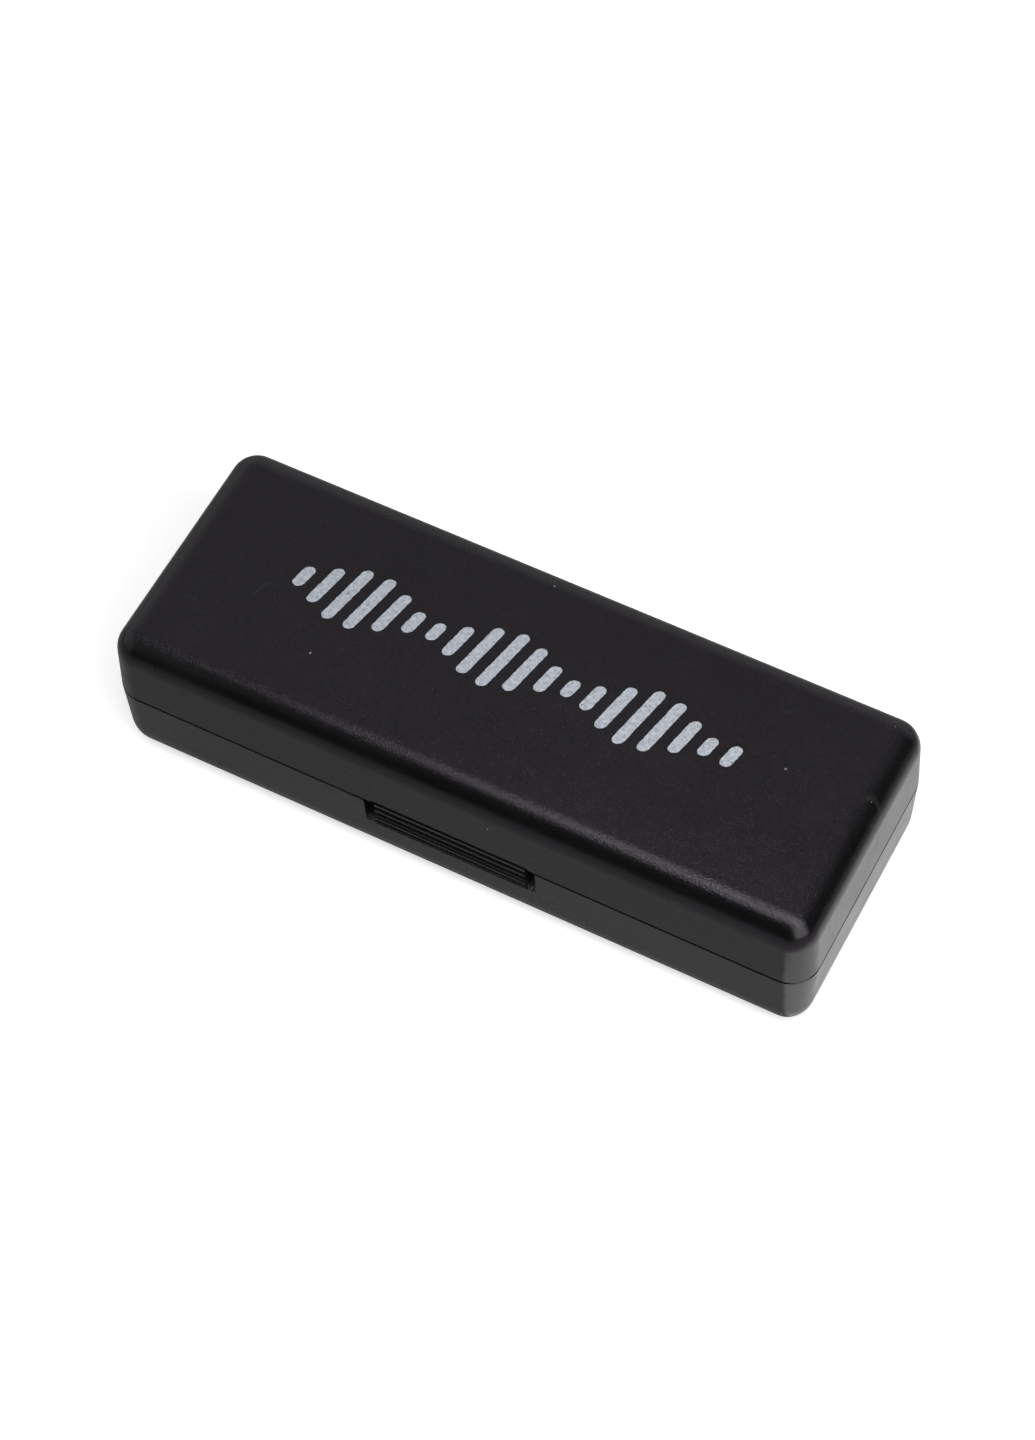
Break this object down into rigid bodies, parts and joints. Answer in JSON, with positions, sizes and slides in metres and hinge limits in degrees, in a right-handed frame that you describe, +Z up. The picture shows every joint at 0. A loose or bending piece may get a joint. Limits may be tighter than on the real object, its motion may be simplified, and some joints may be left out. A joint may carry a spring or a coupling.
{
  "type": "harmonica in hinged case",
  "caption": "Diatonic harmonica lying in its black moulded clamshell case, with hinged lid, thumb catch, comb, brass reed plates, free reeds and metal covers.",
  "frame": {"origin": "centre of the case's flat resting face, midway between its ends and its front and rear walls", "axes": "+X to the right along the case's length with the catch facing the viewer, +Y to the hinged rear side, +Z up"},
  "size_m": [0.125, 0.0488, 0.03],
  "materials": {
    "case_plastic": "fine moulded grain, satin, near black",
    "catch_plastic": "smooth moulded, near black",
    "pin_steel": "drawn wire",
    "comb_plastic": "smooth moulded",
    "reed_plate_brass": "rolled sheet",
    "reed_brass": "ground strip",
    "screw_steel": "bright zinc",
    "cover_chrome": "polished, fine hairlines"
  },
  "bodies": {
    "base": {"case_base": "case_plastic", "hinge_pin_left": "pin_steel", "hinge_pin_right": "pin_steel"},
    "lid": {"case_lid": "case_plastic"},
    "catch": {"lid_catch": "catch_plastic"},
    "harmonica": {"comb": "comb_plastic", "blow_reed_plate": "reed_plate_brass", "draw_reed_plate": "reed_plate_brass", "blow_reed_rivets": "reed_brass", "draw_reed_rivets": "reed_brass", "top_plate_screws": "screw_steel", "bottom_plate_screws": "screw_steel", "top_cover": "cover_chrome", "bottom_cover": "cover_chrome", "cover_bolts": "screw_steel", "cover_nuts": "screw_steel"},
    "blow_reed_1": {"blow_reed_1": "reed_brass"},
    "blow_reed_2": {"blow_reed_2": "reed_brass"},
    "blow_reed_3": {"blow_reed_3": "reed_brass"},
    "blow_reed_4": {"blow_reed_4": "reed_brass"},
    "blow_reed_5": {"blow_reed_5": "reed_brass"},
    "blow_reed_6": {"blow_reed_6": "reed_brass"},
    "blow_reed_7": {"blow_reed_7": "reed_brass"},
    "blow_reed_8": {"blow_reed_8": "reed_brass"},
    "blow_reed_9": {"blow_reed_9": "reed_brass"},
    "blow_reed_10": {"blow_reed_10": "reed_brass"},
    "draw_reed_1": {"draw_reed_1": "reed_brass"},
    "draw_reed_2": {"draw_reed_2": "reed_brass"},
    "draw_reed_3": {"draw_reed_3": "reed_brass"},
    "draw_reed_4": {"draw_reed_4": "reed_brass"},
    "draw_reed_5": {"draw_reed_5": "reed_brass"},
    "draw_reed_6": {"draw_reed_6": "reed_brass"},
    "draw_reed_7": {"draw_reed_7": "reed_brass"},
    "draw_reed_8": {"draw_reed_8": "reed_brass"},
    "draw_reed_9": {"draw_reed_9": "reed_brass"},
    "draw_reed_10": {"draw_reed_10": "reed_brass"}
  },
  "joints": [
    {"name": "lid_hinge", "type": "hinge", "parent": "base", "child": "lid", "pos_m": [0, 0.0239, 0.016], "axis": [-1, 0, 0], "range_deg": [0, 135]},
    {"name": "catch_flex", "type": "hinge", "parent": "lid", "child": "catch", "pos_m": [0, -0.02195, 0.01655], "axis": [-1, 0, 0], "range_deg": [0, 8], "stiffness_Nm_per_rad": 0.02},
    {"name": "harmonica_lift", "type": "slide", "parent": "base", "child": "harmonica", "axis": [0, 0, 1], "range_m": [0, 0.0009]},
    {"name": "blow_reed_1_flex", "type": "hinge", "parent": "harmonica", "child": "blow_reed_1", "pos_m": [-0.03375, 0.0055, 0.01823], "axis": [1, 0, 0], "range_deg": [-2, 2], "stiffness_Nm_per_rad": 0.02},
    {"name": "blow_reed_2_flex", "type": "hinge", "parent": "harmonica", "child": "blow_reed_2", "pos_m": [-0.02625, 0.0055, 0.01823], "axis": [1, 0, 0], "range_deg": [-2, 2], "stiffness_Nm_per_rad": 0.02},
    {"name": "blow_reed_3_flex", "type": "hinge", "parent": "harmonica", "child": "blow_reed_3", "pos_m": [-0.01875, 0.0055, 0.01823], "axis": [1, 0, 0], "range_deg": [-2, 2], "stiffness_Nm_per_rad": 0.02},
    {"name": "blow_reed_4_flex", "type": "hinge", "parent": "harmonica", "child": "blow_reed_4", "pos_m": [-0.01125, 0.0055, 0.01823], "axis": [1, 0, 0], "range_deg": [-2, 2], "stiffness_Nm_per_rad": 0.02},
    {"name": "blow_reed_5_flex", "type": "hinge", "parent": "harmonica", "child": "blow_reed_5", "pos_m": [-0.00375, 0.0055, 0.01823], "axis": [1, 0, 0], "range_deg": [-2, 2], "stiffness_Nm_per_rad": 0.02},
    {"name": "blow_reed_6_flex", "type": "hinge", "parent": "harmonica", "child": "blow_reed_6", "pos_m": [0.00375, 0.0055, 0.01823], "axis": [1, 0, 0], "range_deg": [-2, 2], "stiffness_Nm_per_rad": 0.02},
    {"name": "blow_reed_7_flex", "type": "hinge", "parent": "harmonica", "child": "blow_reed_7", "pos_m": [0.01125, 0.0055, 0.01823], "axis": [1, 0, 0], "range_deg": [-2, 2], "stiffness_Nm_per_rad": 0.02},
    {"name": "blow_reed_8_flex", "type": "hinge", "parent": "harmonica", "child": "blow_reed_8", "pos_m": [0.01875, 0.0055, 0.01823], "axis": [1, 0, 0], "range_deg": [-2, 2], "stiffness_Nm_per_rad": 0.02},
    {"name": "blow_reed_9_flex", "type": "hinge", "parent": "harmonica", "child": "blow_reed_9", "pos_m": [0.02625, 0.0055, 0.01823], "axis": [1, 0, 0], "range_deg": [-2, 2], "stiffness_Nm_per_rad": 0.02},
    {"name": "blow_reed_10_flex", "type": "hinge", "parent": "harmonica", "child": "blow_reed_10", "pos_m": [0.03375, 0.0055, 0.01823], "axis": [1, 0, 0], "range_deg": [-2, 2], "stiffness_Nm_per_rad": 0.02},
    {"name": "draw_reed_1_flex", "type": "hinge", "parent": "harmonica", "child": "draw_reed_1", "pos_m": [-0.03375, -0.0082, 0.01093], "axis": [1, 0, 0], "range_deg": [-2, 2], "stiffness_Nm_per_rad": 0.02},
    {"name": "draw_reed_2_flex", "type": "hinge", "parent": "harmonica", "child": "draw_reed_2", "pos_m": [-0.02625, -0.0082, 0.01093], "axis": [1, 0, 0], "range_deg": [-2, 2], "stiffness_Nm_per_rad": 0.02},
    {"name": "draw_reed_3_flex", "type": "hinge", "parent": "harmonica", "child": "draw_reed_3", "pos_m": [-0.01875, -0.0082, 0.01093], "axis": [1, 0, 0], "range_deg": [-2, 2], "stiffness_Nm_per_rad": 0.02},
    {"name": "draw_reed_4_flex", "type": "hinge", "parent": "harmonica", "child": "draw_reed_4", "pos_m": [-0.01125, -0.0082, 0.01093], "axis": [1, 0, 0], "range_deg": [-2, 2], "stiffness_Nm_per_rad": 0.02},
    {"name": "draw_reed_5_flex", "type": "hinge", "parent": "harmonica", "child": "draw_reed_5", "pos_m": [-0.00375, -0.0082, 0.01093], "axis": [1, 0, 0], "range_deg": [-2, 2], "stiffness_Nm_per_rad": 0.02},
    {"name": "draw_reed_6_flex", "type": "hinge", "parent": "harmonica", "child": "draw_reed_6", "pos_m": [0.00375, -0.0082, 0.01093], "axis": [1, 0, 0], "range_deg": [-2, 2], "stiffness_Nm_per_rad": 0.02},
    {"name": "draw_reed_7_flex", "type": "hinge", "parent": "harmonica", "child": "draw_reed_7", "pos_m": [0.01125, -0.0082, 0.01093], "axis": [1, 0, 0], "range_deg": [-2, 2], "stiffness_Nm_per_rad": 0.02},
    {"name": "draw_reed_8_flex", "type": "hinge", "parent": "harmonica", "child": "draw_reed_8", "pos_m": [0.01875, -0.0082, 0.01093], "axis": [1, 0, 0], "range_deg": [-2, 2], "stiffness_Nm_per_rad": 0.02},
    {"name": "draw_reed_9_flex", "type": "hinge", "parent": "harmonica", "child": "draw_reed_9", "pos_m": [0.02625, -0.0082, 0.01093], "axis": [1, 0, 0], "range_deg": [-2, 2], "stiffness_Nm_per_rad": 0.02},
    {"name": "draw_reed_10_flex", "type": "hinge", "parent": "harmonica", "child": "draw_reed_10", "pos_m": [0.03375, -0.0082, 0.01093], "axis": [1, 0, 0], "range_deg": [-2, 2], "stiffness_Nm_per_rad": 0.02}
  ]
}
